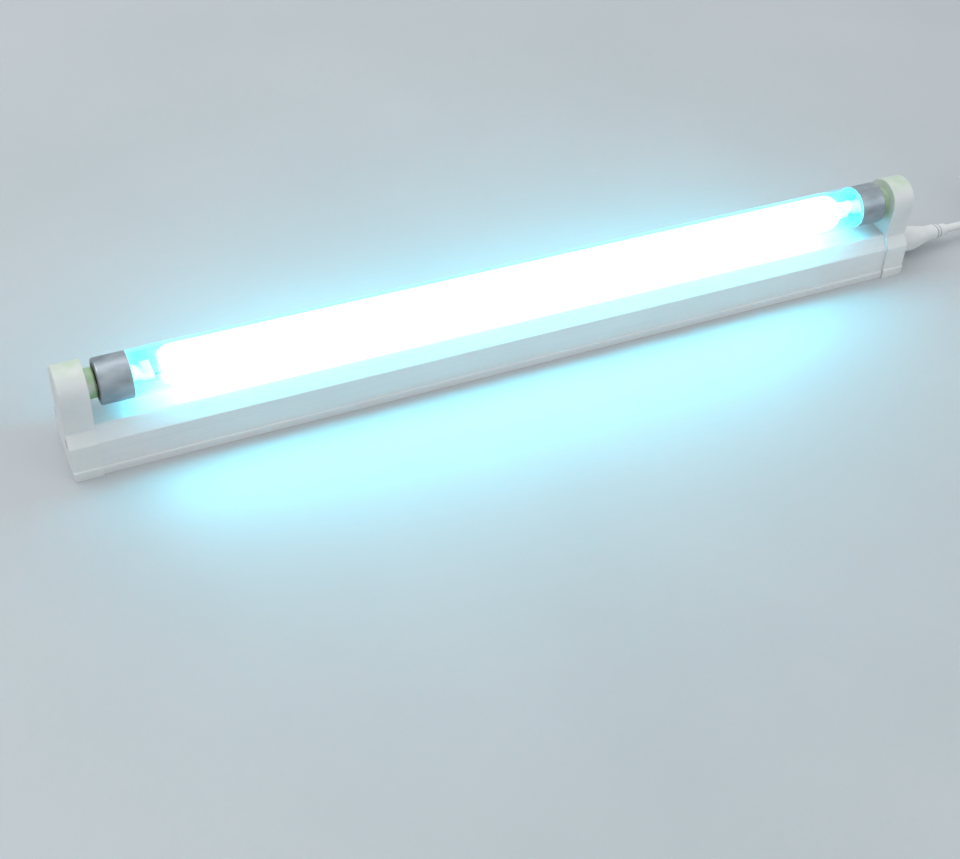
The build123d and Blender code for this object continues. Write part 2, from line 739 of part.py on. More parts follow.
# Cord connector: a nose in the inlet, a tapered body, and a ringed strain relief round the cord
taper_start = end_outer + connector_body
taper_end = taper_start + connector_taper
grip_end = taper_end + grip_length
nose_end = end_outer - inlet_depth + nose_end_play
nose_width = inlet_width - 2 * nose_play
nose_tall = inlet_tall - 2 * nose_play
with BuildPart() as cord_connector:
    with BuildSketch(Plane.YZ.offset(end_outer)):
        with Locations((0, inlet_height)):
            RectangleRounded(connector_width, connector_tall, connector_corner)
    extrude(amount=connector_body)
    fillet(cord_connector.faces().sort_by(Axis.X)[0].edges(), end_edge_radius)
    with BuildSketch(Plane.YZ.offset(taper_start)):
        with Locations((0, inlet_height)):
            RectangleRounded(connector_width, connector_tall, connector_corner)
    with BuildSketch(Plane.YZ.offset(taper_end)):
        with Locations((0, inlet_height)):
            RectangleRounded(neck_width, neck_tall, neck_corner)
    loft()
    with BuildSketch(Plane.YZ.offset(taper_end)):
        with Locations((0, inlet_height)):
            RectangleRounded(neck_width, neck_tall, neck_corner)
    extrude(amount=grip_length)
    with BuildSketch(Plane.YZ.offset(grip_end)):
        with Locations((0, inlet_height)):
            RectangleRounded(neck_width, neck_tall, neck_corner)
    with BuildSketch(Plane.YZ.offset(cord_exit)):
        with Locations((0, inlet_height)):
            Circle(relief_diameter / 2)
    loft()
    with BuildSketch(Plane.XZ):
        for ring in range(relief_grooves):
            groove_x = grip_end + ring * relief_groove_step
            with Locations((groove_x, inlet_height + relief_groove_radius + connector_tall / 2)):
                Rectangle(relief_groove_width, connector_tall)
    revolve(axis=connector_axis, mode=Mode.SUBTRACT)
    with BuildSketch(Plane.YZ.offset(nose_end)):
        with Locations((0, inlet_height)):
            RectangleRounded(nose_width, nose_tall, inlet_corner - nose_play)
    extrude(amount=end_outer + end_edge_radius - nose_end)
    with BuildSketch(Plane.YZ.offset(nose_end)):
        with Locations(*inlet_places):
            Circle(inlet_pin_diameter / 2 + pin_play + socket_wall + socket_play)
    extrude(amount=socket_length + fit, mode=Mode.SUBTRACT)
cord_connector.part.label = "cord_connector"
export_step(cord_connector.part, "parts/cord_connector.step")

# Connector sockets: a metal sleeve round each inlet pin, inside the connector's nose
with BuildPart() as connector_sockets:
    with BuildSketch(Plane.YZ.offset(nose_end)):
        with Locations(*inlet_places):
            Circle(inlet_pin_diameter / 2 + pin_play + socket_wall)
    extrude(amount=socket_length)
    with BuildSketch(Plane.YZ.offset(nose_end)):
        with Locations(*inlet_places):
            Circle(inlet_pin_diameter / 2 + pin_play)
    extrude(amount=socket_length - socket_wall, mode=Mode.SUBTRACT)
connector_sockets.part.label = "connector_sockets"
export_step(connector_sockets.part, "parts/connector_sockets.step")

# Cord: straight out of the connector, down to the surface, and aside to the hank's outer turn
floor_height = hank_lift + cord_diameter / 2
cord_route = [
    (cord_exit, 0, inlet_height),
    (cord_exit + 8.0, 0, inlet_height),
    (cord_exit + 17.0, 1.4, inlet_height - 1.4),
    (cord_exit + 25.0, 4.6, inlet_height - 2.8),
    (cord_exit + 30.5, 7.6, floor_height),
]
cord_radii = bend_radii(cord_route)
print("cord radii", [round(radius, 1) for radius in cord_radii])
with BuildPart() as cord:
    with BuildLine():
        FilletPolyline(*cord_route, radius=cord_radii)
    with BuildSketch(Plane(cord_route[0], z_dir=Vector(cord_route[1]) - Vector(cord_route[0]))):
        Circle(cord_diameter / 2)
    sweep()
cord.part.label = "cord"
export_step(cord.part, "parts/cord.step")

# Hank: the outer shape of the cord's put-away length, folded in line with the batten
hank_left = cord_exit + hank_from_exit
hank_right = hank_left + hank_run
hank_middle = (hank_left + hank_right) / 2
hank_outer = hank_fold + (hank_turns_wide - 0.5) * cord_diameter
hank_height = hank_layers * cord_diameter
with BuildPart() as cord_hank:
    with BuildSketch(Plane.XY.offset(hank_lift)):
        with Locations((hank_middle, hank_offset)):
            SlotCenterToCenter(hank_run, 2 * hank_outer)
            SlotCenterToCenter(hank_run, 2 * hank_fold - cord_diameter, mode=Mode.SUBTRACT)
    extrude(amount=hank_height)
cord_hank.part.label = "cord_hank"
export_step(cord_hank.part, "parts/cord_hank.step")

# Tie: a flat band round the waist of the hank
with BuildPart() as cord_tie:
    with BuildSketch(Plane.YZ.offset(hank_middle - tie_width / 2)):
        with Locations((hank_offset, hank_lift + hank_height / 2)):
            RectangleRounded(
                2 * (hank_outer + tie_play + tie_thickness),
                hank_height + 2 * (tie_play + tie_thickness),
                2 * tie_thickness,
            )
            Rectangle(2 * (hank_outer + tie_play), hank_height + 2 * tie_play, mode=Mode.SUBTRACT)
    extrude(amount=tie_width)
cord_tie.part.label = "cord_tie"
export_step(cord_tie.part, "parts/cord_tie.step")

# Cord tail: off the hank's top turn and down into the plug
plug_entry = cord_exit + plug_from_exit
plug_height = plug_tall / 2
tail_height = hank_lift + hank_height - cord_diameter / 2
tail_y = hank_offset + hank_outer - cord_diameter / 2
tail_route = [
    (hank_right + 9.5, tail_y, tail_height - 0.3),
    (hank_right + 16.5, tail_y - 0.8, tail_height - 2.6),
    (hank_right + 23.5, tail_y - 2.8, tail_height - 6.2),
    (hank_right + 31.0, tail_y - 5.2, tail_height - 9.1),
    (plug_entry - 7.0, plug_offset, plug_height),
    (plug_entry, plug_offset, plug_height),
]
tail_radii = bend_radii(tail_route)
print("tail radii", [round(radius, 1) for radius in tail_radii])
with BuildPart() as cord_tail:
    with BuildLine():
        FilletPolyline(*tail_route, radius=tail_radii)
    with BuildSketch(Plane(tail_route[0], z_dir=Vector(tail_route[1]) - Vector(tail_route[0]))):
        Circle(cord_diameter / 2)
    sweep()
cord_tail.part.label = "cord_tail"
export_step(cord_tail.part, "parts/cord_tail.step")

# Mains plug: a round strain relief swelling into a rounded two-blade body
plug_back = plug_entry + plug_relief_length
plug_face = plug_back + plug_length
with BuildPart() as mains_plug:
    with BuildSketch(Plane.YZ.offset(plug_back)):
        with Locations((plug_offset, plug_height)):
            RectangleRounded(plug_back_width, plug_back_tall, plug_back_corner)
    with BuildSketch(Plane.YZ.offset(plug_face)):
        with Locations((plug_offset, plug_height)):
            RectangleRounded(plug_width, plug_tall, plug_corner)
    loft()
    fillet(mains_plug.faces().sort_by(Axis.X)[-1].edges(), plug_edge_radius)
    with BuildSketch(Plane.YZ.offset(plug_entry)):
        with Locations((plug_offset, plug_height)):
            Circle(relief_diameter / 2)
    with BuildSketch(Plane.YZ.offset(plug_back)):
        with Locations((plug_offset, plug_height)):
            Circle(plug_relief_root / 2)
    loft()
mains_plug.part.label = "mains_plug"
export_step(mains_plug.part, "parts/mains_plug.step")

# Plug blades: two flat blades with rounded tips and a hole near the tip
blade_tip = plug_face + blade_length
blade_outside = plug_offset + (blade_spacing + blade_thickness) / 2
with BuildPart() as plug_blades:
    with BuildSketch(Plane.XZ.offset(-blade_outside)) as blade_outline:
        with Locations((plug_face + blade_length / 2, plug_height)):
            Rectangle(blade_length, blade_width)
        fillet(blade_outline.vertices().group_by(Axis.X)[-1], blade_tip_radius)
        with Locations((blade_tip - blade_hole_from_tip, plug_height)):
            Circle(blade_hole_diameter / 2, mode=Mode.SUBTRACT)
    extrude(amount=blade_thickness)
    mirror(about=Plane.XZ.offset(-plug_offset))
plug_blades.part.label = "plug_blades"
export_step(plug_blades.part, "parts/plug_blades.step")
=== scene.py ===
import bpy
import numpy as np
from mathutils import Matrix


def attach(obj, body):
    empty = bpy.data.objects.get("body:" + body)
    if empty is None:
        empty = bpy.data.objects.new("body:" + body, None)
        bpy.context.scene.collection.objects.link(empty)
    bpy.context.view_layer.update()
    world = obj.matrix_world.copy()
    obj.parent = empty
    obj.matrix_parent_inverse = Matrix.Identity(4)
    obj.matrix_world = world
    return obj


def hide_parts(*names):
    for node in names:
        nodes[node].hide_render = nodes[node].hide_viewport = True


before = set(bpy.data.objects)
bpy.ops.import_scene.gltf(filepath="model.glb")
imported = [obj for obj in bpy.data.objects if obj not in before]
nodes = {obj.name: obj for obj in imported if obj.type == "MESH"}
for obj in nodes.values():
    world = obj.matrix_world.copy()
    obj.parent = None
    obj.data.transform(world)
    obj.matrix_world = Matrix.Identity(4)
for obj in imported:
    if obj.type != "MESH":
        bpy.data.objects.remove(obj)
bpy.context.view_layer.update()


# Housing: one length of white extruded plastic with a flat top, sloped shoulders and a small foot.
# The die leaves faint lines along it, and the plastic lets a little of the tube's light in.
MM = 0.001


def finish(name, sockets):
    """A node material with one Principled shader, whose constant values are set on its own sockets."""
    material = bpy.data.materials.new(name)
    material.use_nodes = True
    shader = material.node_tree.nodes["Principled BSDF"]
    for socket, value in sockets.items():
        shader.inputs[socket].default_value = value
    return material, shader


def add(material, kind, inputs, **settings):
    """One more shader node: settings are its properties, inputs its values or what feeds them."""
    made = material.node_tree.nodes.new("ShaderNode" + kind)
    for key, value in settings.items():
        setattr(made, key, value)
    for key, value in inputs.items():
        if isinstance(value, bpy.types.NodeSocket):
            material.node_tree.links.new(value, made.inputs[key])
        else:
            made.inputs[key].default_value = value
    return made


def reckon(material, operation, *values):
    """The result of a Math node over outputs or plain numbers."""
    return add(material, "Math", dict(enumerate(values)), operation=operation).outputs["Value"]


def grain(material, stretch, detail):
    """Noise on the piece's own coordinates in metres, with so many cells per metre along X, Y and Z."""
    place = add(material, "TexCoord", {}).outputs["Object"]
    scaled = add(material, "Mapping", {"Vector": place, "Scale": stretch}).outputs["Vector"]
    return add(material, "TexNoise", {"Vector": scaled, "Scale": 1.0, "Detail": detail}).outputs["Fac"]


def shades(material, factor, stops):
    """A ramp of colours over a factor, given as (place, colour) stops."""
    ramp = add(material, "ValToRGB", {"Fac": factor})
    while len(ramp.color_ramp.elements) < len(stops):
        ramp.color_ramp.elements.new(0.5)
    for element, (place, colour) in zip(ramp.color_ramp.elements, stops):
        element.position = place
        element.color = (*colour, 1.0)
    return ramp.outputs["Color"]


def spread(material, factor, low, high, start=0.3, end=0.7):
    """A factor's span from start to end, spread over the values from low to high and held beyond it."""
    span = {"From Min": start, "From Max": end, "To Min": low, "To Max": high}
    return add(material, "MapRange", {"Value": factor, **span}).outputs["Result"]


def join(material, output, shader, socket):
    """Feeds one socket of the shader."""
    material.node_tree.links.new(output, shader.inputs[socket])


def relief(material, shader, height, depth):
    """Bump of that many metres between the height's 0 and 1."""
    bump = add(material, "Bump", {"Height": height, "Strength": 1.0, "Distance": depth})
    join(material, bump.outputs["Normal"], shader, "Normal")


def dress(name, material):
    """Gives a CAD node its material."""
    piece = nodes[name]
    piece.data.materials.clear()
    piece.data.materials.append(material)
    return piece


LIGHT_INSIDE = {
    "Subsurface Weight": 0.12, "Subsurface Radius": (1.0, 1.0, 1.0), "Subsurface Scale": 1.2 * MM,
}
STREAK_BASE = 0.25
housing_white, shader = finish("housing_white", {"IOR": 1.49, **LIGHT_INSIDE})
die_lines = grain(housing_white, (9.0, 1300.0, 1300.0), 4.0)
clouding = grain(housing_white, (45.0, 120.0, 120.0), 3.0)
streaks = reckon(housing_white, "MULTIPLY_ADD", die_lines, clouding, STREAK_BASE)
join(housing_white, shades(housing_white, streaks, [
    (0.30, (0.69, 0.71, 0.72)), (0.48, (0.73, 0.748, 0.753)), (0.70, (0.755, 0.77, 0.775)),
]), shader, "Base Color")
join(housing_white, spread(housing_white, die_lines, 0.30, 0.44), shader, "Roughness")
relief(housing_white, shader, die_lines, 0.013 * MM)
dress("housing", housing_white)


# Base plate: a flat strip of the same plastic that slides into the housing's grooves from one end.
# It is duller than the housing, with a fine pebbled face.
plate_white, shader = finish("plate_white", {"IOR": 1.49})
pebbles = grain(plate_white, (1500.0, 1500.0, 1500.0), 2.0)
scuffs = grain(plate_white, (25.0, 260.0, 260.0), 5.0)
join(plate_white, shades(plate_white, scuffs, [
    (0.35, (0.60, 0.615, 0.62)), (0.55, (0.66, 0.675, 0.68)),
]), shader, "Base Color")
join(plate_white, spread(plate_white, pebbles, 0.48, 0.62), shader, "Roughness")
relief(plate_white, shader, pebbles, 0.03 * MM)
dress("base_plate", plate_white)


# Ballast: a narrow board of brown paper laminate that slides between the housing's ribs.
# It carries a row of small parts, each of its own stuff, and all of it is shut inside the batten.
def mottled(name, dark, light, cells, rough, sockets, depth=0.02):
    """A small part's finish: noise of so many cells per metre between two colours, with a faint bump
    whose depth is in millimetres."""
    material, shader = finish(name, sockets)
    cloud = grain(material, cells, 3.0)
    join(material, shades(material, cloud, [(0.35, dark), (0.65, light)]), shader, "Base Color")
    join(material, spread(material, cloud, *rough), shader, "Roughness")
    relief(material, shader, cloud, depth * MM)
    return material


dress("ballast_board", mottled(
    "board_laminate", (0.40, 0.29, 0.12), (0.52, 0.39, 0.19), (500.0, 900.0, 500.0), (0.45, 0.6), {},
))
dress("choke_core", mottled(
    "ferrite_grey", (0.05, 0.05, 0.055), (0.10, 0.10, 0.11), (1500.0, 1500.0, 1500.0), (0.5, 0.7),
    {}, 0.05,
))
dress("choke_winding", mottled(
    "winding_tape", (0.70, 0.55, 0.06), (0.82, 0.68, 0.12), (60.0, 60.0, 1400.0), (0.2, 0.35), {}, 0.03,
))
dress("film_capacitors", mottled(
    "film_dip_red", (0.36, 0.07, 0.04), (0.48, 0.11, 0.07), (500.0, 500.0, 500.0), (0.15, 0.3),
    {"Coat Weight": 0.4}, 0.04,
))
epoxy_black = mottled(
    "epoxy_black", (0.018, 0.018, 0.02), (0.04, 0.04, 0.042), (1800.0, 1800.0, 1800.0), (0.45, 0.6), {},
)
dress("transistors", epoxy_black)
dress("rectifier_diodes", epoxy_black)
dress("drive_toroid", mottled(
    "toroid_green", (0.05, 0.17, 0.08), (0.09, 0.25, 0.12), (900.0, 900.0, 900.0), (0.35, 0.55),
    {}, 0.04,
))
dress("smoothing_capacitor", mottled(
    "can_sleeve_blue", (0.03, 0.04, 0.12), (0.06, 0.07, 0.18), (40.0, 700.0, 700.0), (0.18, 0.3),
    {}, 0.01,
))
dress("fuse_resistor", mottled(
    "fuse_lacquer", (0.26, 0.35, 0.42), (0.34, 0.44, 0.52), (1200.0, 1200.0, 1200.0), (0.4, 0.55), {},
))
wire_white = mottled(
    "wire_white", (0.66, 0.66, 0.63), (0.76, 0.76, 0.74), (30.0, 900.0, 900.0), (0.35, 0.5), {}, 0.01,
)
dress("left_lead_wires", wire_white)
dress("right_lead_wires", wire_white)


# End caps: moulded white plastic, a sleeve over the batten's end with an arched head for the tube.
# The faces are finely spark-eroded, and the tube's light on the head's top and boss is painted in as
# green.
AXIS = 27.4 * MM
PAINTED_GREEN_LIGHT = (0.31, 0.57, 0.25, 1.0)
TOP_SHARE, TOP_FROM, TOP_FULL = 0.42, AXIS + 5.0 * MM, AXIS + 7.8 * MM
BOSS_SHARE, BOSS_FACE, BOSS_ROOT = 0.95, 146.9 * MM, 147.6 * MM
BOSS_FROM, BOSS_FULL = AXIS - 5.5 * MM, AXIS - 3.0 * MM


def spot(material):
    """The outputs X, Y and Z of a point on the piece, in metres."""
    place = add(material, "TexCoord", {}).outputs["Object"]
    return add(material, "SeparateXYZ", {"Vector": place}).outputs


def tint(material, share, colour, other):
    """A share of the other colour over a colour."""
    return add(material, "Mix", {0: share, 6: colour, 7: other}, data_type="RGBA").outputs[2]


end_white, shader = finish("end_cap_white", {"IOR": 1.52, **LIGHT_INSIDE})
eroded = grain(end_white, (2600.0, 2600.0, 2600.0), 2.0)
flow = grain(end_white, (60.0, 110.0, 70.0), 3.0)
plain = shades(end_white, flow, [
    (0.30, (0.67, 0.69, 0.695)), (0.50, (0.725, 0.74, 0.74)), (0.72, (0.765, 0.775, 0.77)),
])
point = spot(end_white)
along = reckon(end_white, "ABSOLUTE", point["X"])
# Painted light: the tube's green light on the head's top and on the boss, mixed over the plain white.
head_top = spread(end_white, point["Z"], 0.0, TOP_SHARE, TOP_FROM, TOP_FULL)
inside = spread(end_white, along, BOSS_SHARE, 0.0, BOSS_FACE, BOSS_ROOT)
raised = spread(end_white, point["Z"], 0.0, 1.0, BOSS_FROM, BOSS_FULL)
boss = reckon(end_white, "MULTIPLY", inside, raised)
lit = reckon(end_white, "MAXIMUM", head_top, boss)
patches = spread(end_white, grain(end_white, (130.0, 130.0, 130.0), 2.0), 0.25, 1.0, 0.38, 0.62)
painted_light_share = reckon(end_white, "MULTIPLY", lit, patches)
join(end_white, tint(end_white, painted_light_share, plain, PAINTED_GREEN_LIGHT), shader, "Base Color")
join(end_white, spread(end_white, eroded, 0.36, 0.50), shader, "Roughness")
relief(end_white, shader, eroded, 0.025 * MM)
dress("left_end_cap", end_white)
dress("right_end_cap", end_white)


# Contacts and inlet pins: stamped bronze sleeves in the heads, and drawn brass pins in the inlet.
# The metal is bright, with drawing lines and a little tarnish.
def drawn_metal(name, dark, light, cells, rough):
    """A bare metal finish: noise stretched along the drawing, between a dull and a bright tone."""
    return mottled(name, dark, light, cells, rough, {"Metallic": 1.0}, 0.01)


bronze = drawn_metal(
    "contact_bronze", (0.42, 0.28, 0.13), (0.62, 0.44, 0.24), (60.0, 700.0, 700.0), (0.28, 0.42),
)
inlet_brass = drawn_metal(
    "inlet_brass", (0.58, 0.44, 0.18), (0.78, 0.63, 0.32), (80.0, 900.0, 900.0), (0.18, 0.3),
)
dress("left_contacts", bronze)
dress("right_contacts", bronze)
dress("inlet_pins", inlet_brass)
dress("connector_sockets", inlet_brass)


# End screws: two plated pan heads in each end cap, with a cross recess for the driver.
# Each runs through the cap into a round port of the housing.
END_OUTER = 156.3 * MM
SCREW_Y, SCREW_Z = 7.3 * MM, 11.2 * MM
HEAD_RADIUS, HEAD_SEAT, HEAD_HEIGHT = 2.0 * MM, 1.5 * MM, 1.3 * MM
HEAD_CROWN, HEAD_RIM = 0.45 * MM, 0.35 * MM
SHANK_RADIUS, SHANK_LENGTH, SHANK_POLE = 1.0 * MM, 9.0 * MM, 0.02 * MM
CROSS_ARM, CROSS_WIDTH, CROSS_DEPTH = 1.25 * MM, 0.34 * MM, 0.7 * MM
ARM_SLOPE, FLANK_SLOPE = 0.3 * MM, 0.12 * MM
HEAD_RINGS, SCREW_SIDES = 26, 96


def mesh_piece(name, points, faces, material, smooth=True):
    """A mesh object at the origin from an array of points and a list of faces."""
    mesh = bpy.data.meshes.new(name)
    mesh.from_pydata(points.reshape(-1, 3).tolist(), [], faces)
    mesh.polygons.foreach_set("use_smooth", np.full(len(mesh.polygons), smooth))
    mesh.update()
    mesh.materials.append(material)
    piece = bpy.data.objects.new(name, mesh)
    bpy.context.collection.objects.link(piece)
    return piece


def grid_faces(rows, columns, start=0):
    """Faces of a grid of points whose columns close on themselves: four corners each from row to row,
    one face that shuts the first row and one that shuts the last. Start is the first point's number."""
    ring = np.arange(columns) + start
    steps = np.arange(rows - 1)[:, None] * columns
    first, after = steps + ring, steps + np.roll(ring, -1)
    sides = np.stack([first, after, after + columns, first + columns], axis=-1)
    last = ring + (rows - 1) * columns
    return sides.reshape(-1, 4).tolist() + [ring[::-1].tolist(), last.tolist()]


def screw(side, y):
    """A profile turned about the screw's axis, its head pressed in by a cross.
    A point at radius r and angle a lies at x = profile(r) - depth * arms(r cos a, r sin a)."""
    over_head = np.linspace(0.02, 1.0, HEAD_RINGS) * HEAD_RADIUS
    radii = np.concatenate([over_head, [HEAD_RADIUS] * 2, [SHANK_RADIUS] * 3, [SHANK_POLE]])
    dome = HEAD_HEIGHT - HEAD_CROWN * (over_head / HEAD_RADIUS) ** 4
    under = [HEAD_RIM, 0.0, 0.0, -0.5 * SHANK_LENGTH, -SHANK_LENGTH, -SHANK_LENGTH]
    heights = np.concatenate([dome, under])
    angles = np.linspace(0.0, 2 * np.pi, SCREW_SIDES, endpoint=False) * -side
    u = radii[:, None] * np.cos(angles)
    v = radii[:, None] * np.sin(angles)
    wide, narrow = np.maximum(np.abs(u), np.abs(v)), np.minimum(np.abs(u), np.abs(v))
    arms = np.clip((CROSS_ARM - wide) / ARM_SLOPE, 0, 1)
    arms *= np.clip((CROSS_WIDTH - narrow) / FLANK_SLOPE, 0, 1)
    arms[HEAD_RINGS:] = 0.0
    x = side * (END_OUTER - HEAD_SEAT + heights[:, None] - CROSS_DEPTH * arms)
    return np.stack([x, y + u, SCREW_Z + v], axis=-1)


screw_plate = drawn_metal(
    "screw_plate", (0.44, 0.45, 0.47), (0.66, 0.67, 0.69), (900.0, 900.0, 900.0), (0.25, 0.4),
)
for side, hand in ((-1, "left"), (1, "right")):
    pair = np.stack([screw(side, -SCREW_Y), screw(side, SCREW_Y)])
    rows, columns = pair.shape[1:3]
    faces = grid_faces(rows, columns) + grid_faces(rows, columns, rows * columns)
    screws = mesh_piece(f"{hand}_cross_screws", pair, faces, screw_plate)
    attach(screws, "root")
    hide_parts(f"{hand}_end_screws")


# Lit vapour: the discharge between the two cathodes, drawn as one glowing column with rounded ends.
# It is so bright that only its ends show their blue-green colour, and the quartz round it a painted
# blue-green glow.
GLOW_RADIUS, GLOW_LEFT, GLOW_RIGHT, GLOW_ROUND = 6.45 * MM, 125.6 * MM, 127.0 * MM, 6.0 * MM
GLOW_COLOUR, GLOW_STRENGTH = (0.17, 0.86, 1.0), 15.0
GLOW_WISP, GLOW_FADE, GLOW_THIN, GLOW_GONE = 1.0 * MM, 6.5 * MM, 5.0 * MM, 0.4 * MM
GLOW_POLE, GLOW_SIDES, END_RINGS, MIDDLE_RINGS = 0.01 * MM, 64, 18, 38


def turned(name, x, radii, sides, material):
    """A profile turned about the tube's axis: a point lies at (x, r sin a, AXIS + r cos a)."""
    angles = np.linspace(0.0, 2 * np.pi, sides, endpoint=False)[::-1]
    points = np.stack([
        np.broadcast_to(x[:, None], (len(x), sides)),
        radii[:, None] * np.sin(angles),
        AXIS + radii[:, None] * np.cos(angles),
    ], axis=-1)
    return mesh_piece(name, points, grid_faces(len(x), sides), material)


vapour, shader = finish("lit_vapour", {
    "Base Color": (0.5, 0.9, 1.0, 1.0), "Roughness": 0.8, "Emission Strength": GLOW_STRENGTH,
})
place = spot(vapour)["X"]
past_right = reckon(vapour, "SUBTRACT", place, GLOW_RIGHT)
past_left = reckon(vapour, "MULTIPLY_ADD", place, -1.0, -GLOW_LEFT)
past = reckon(vapour, "MAXIMUM", past_left, past_right)
wisps = spread(vapour, grain(vapour, (160.0, 160.0, 160.0), 3.0), -GLOW_WISP, GLOW_WISP)
worn = reckon(vapour, "ADD", past, wisps)
join(vapour, shades(vapour, spread(vapour, worn, 0.0, 1.0, -GLOW_FADE, 0.0), [
    (0.0, GLOW_COLOUR), (0.45, (0.10, 0.66, 0.78)), (1.0, (0.04, 0.29, 0.36)),
]), shader, "Emission Color")
join(vapour, spread(vapour, worn, 1.0, 0.0, -GLOW_THIN, -GLOW_GONE), shader, "Alpha")
turn = np.linspace(0.0, np.pi / 2, END_RINGS)
end_x = GLOW_ROUND * (1.0 - np.cos(turn))
end_r = GLOW_RADIUS * np.sin(turn) ** 0.8
middle_x = np.linspace(GLOW_ROUND - GLOW_LEFT, GLOW_RIGHT - GLOW_ROUND, MIDDLE_RINGS + 2)[1:-1]
middle_r = np.full(MIDDLE_RINGS, GLOW_RADIUS)
glow_x = np.concatenate([end_x - GLOW_LEFT, middle_x, GLOW_RIGHT - end_x[::-1]])
glow_r = np.concatenate([end_r, middle_r, end_r[::-1]]) + GLOW_POLE
glow = turned("lit_vapour", glow_x, glow_r, GLOW_SIDES, vapour)
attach(glow, "root")


# Quartz tube: clear fused quartz, drawn in to a neck under each metal cap, where the flame clouds it.
# The lit gas's light in its wall is painted as a blue-green glow, most of all at its edges and
# shoulders.
# Its lower half also has a painted white reflection of the batten mixed into that glow.
CLEAR_FROM, CLEAR_FULL, TINT_FULL = 122.0 * MM, 128.0 * MM, 129.0 * MM
CLOUDED_FROM, CLOUDED_FULL, NECK_DEEP = 133.0 * MM, 134.0 * MM, 138.0 * MM
PAINTED_BATTEN_REFLECTION, WHITE_SHARE = (0.85, 1.0, 1.0, 1.0), 0.8
WHITE_FULL, WHITE_NONE = AXIS - 6.0 * MM, AXIS - 1.5 * MM
WHITE_TO, WHITE_PAST = 129.0 * MM, 132.0 * MM
quartz, shader = finish("quartz_clear", {"Roughness": 0.04, "IOR": 1.46, "Emission Strength": 1.0})
facing = add(quartz, "LayerWeight", {"Blend": 0.5}).outputs["Facing"]
ripple = grain(quartz, (18.0, 300.0, 300.0), 2.0)
point = spot(quartz)
along = reckon(quartz, "ABSOLUTE", point["X"])
edge = spread(quartz, facing, 0.08, 0.62, 0.36, 1.0)
wall = reckon(quartz, "MULTIPLY", edge, spread(quartz, along, 1.0, 0.3, CLEAR_FROM, CLEAR_FULL))
tinted = spread(quartz, along, 0.0, 0.2, CLEAR_FROM, TINT_FULL)
clouded = spread(quartz, along, 0.0, 0.85, CLOUDED_FROM, CLOUDED_FULL)
for layer in (tinted, clouded):
    wall = reckon(quartz, "MAXIMUM", wall, layer)
join(quartz, wall, shader, "Alpha")
ends = spread(quartz, along, 0.0, 1.0, CLEAR_FROM, NECK_DEEP)
join(quartz, shades(quartz, ends, [
    (0.0, (0.26, 0.68, 0.76)), (0.23, (0.03, 0.52, 0.64)),
]), shader, "Base Color")
# Painted light: the glow that the lit gas gives the wall, bright cyan at the neck's shoulders.
painted_wall_glow = shades(quartz, ends, [
    (0.0, (0.06, 0.66, 0.86)), (0.23, (0.0, 0.20, 0.27)), (0.62, (0.0, 0.18, 0.24)),
    (0.72, (0.33, 1.0, 1.0)), (0.80, (0.22, 0.92, 0.90)), (1.0, (0.18, 0.84, 0.82)),
])
# Painted reflection: the batten's white light in the glow of the lower half, over the batten only.
low = spread(quartz, point["Z"], WHITE_SHARE, 0.0, WHITE_FULL, WHITE_NONE)
over_batten = spread(quartz, along, 1.0, 0.0, WHITE_TO, WHITE_PAST)
painted_reflection_share = reckon(quartz, "MULTIPLY", low, over_batten)
join(quartz, tint(quartz, painted_reflection_share, painted_wall_glow, PAINTED_BATTEN_REFLECTION), shader, "Emission Color")
relief(quartz, shader, ripple, 0.006 * MM)
dress("quartz_tube", quartz)


# Stems: lead glass flared and fused into each neck, and squeezed flat round the two lead-in wires.
# The glass is milky from the flame and greener where it turns away, and the lit gas's light on it is
# painted as a glow.
MILK_SHARE = 0.45
stem_glass, shader = finish("stem_glass", {"IOR": 1.52, "Emission Strength": 0.95})
milk = grain(stem_glass, (420.0, 420.0, 420.0), 3.0)
facing = add(stem_glass, "LayerWeight", {"Blend": 0.5}).outputs["Facing"]
thickness = reckon(stem_glass, "MULTIPLY_ADD", milk, MILK_SHARE, facing)
join(stem_glass, shades(stem_glass, thickness, [
    (0.30, (0.90, 0.94, 0.93)), (0.62, (0.70, 0.86, 0.85)), (0.92, (0.16, 0.42, 0.38)),
]), shader, "Base Color")
# Painted light: the lit gas's light on the stem, as a glow that follows the glass's thickness.
join(stem_glass, shades(stem_glass, thickness, [
    (0.30, (0.92, 1.0, 0.99)), (0.62, (0.55, 0.92, 0.92)), (0.92, (0.03, 0.30, 0.27)),
]), shader, "Emission Color")
join(stem_glass, spread(stem_glass, milk, 0.06, 0.18), shader, "Roughness")
relief(stem_glass, shader, milk, 0.05 * MM)
dress("left_stem", stem_glass)
dress("right_stem", stem_glass)
lead_nickel = drawn_metal(
    "lead_nickel", (0.40, 0.44, 0.42), (0.60, 0.64, 0.60), (70.0, 900.0, 900.0), (0.25, 0.4),
)
dress("left_lead_ins", lead_nickel)
dress("right_lead_ins", lead_nickel)


# Cathodes: a coil of tungsten wire at each end of the tube, white with its oxide coat.
# It is clamped across the ends of the two lead-in wires.
CATHODE_X, CATHODE_HALF = 124.15 * MM, 3.7 * MM
COIL_RADIUS, COIL_WIRE, COIL_TURNS = 0.36 * MM, 0.14 * MM, 11
COIL_STEPS, WIRE_SIDES = 280, 10


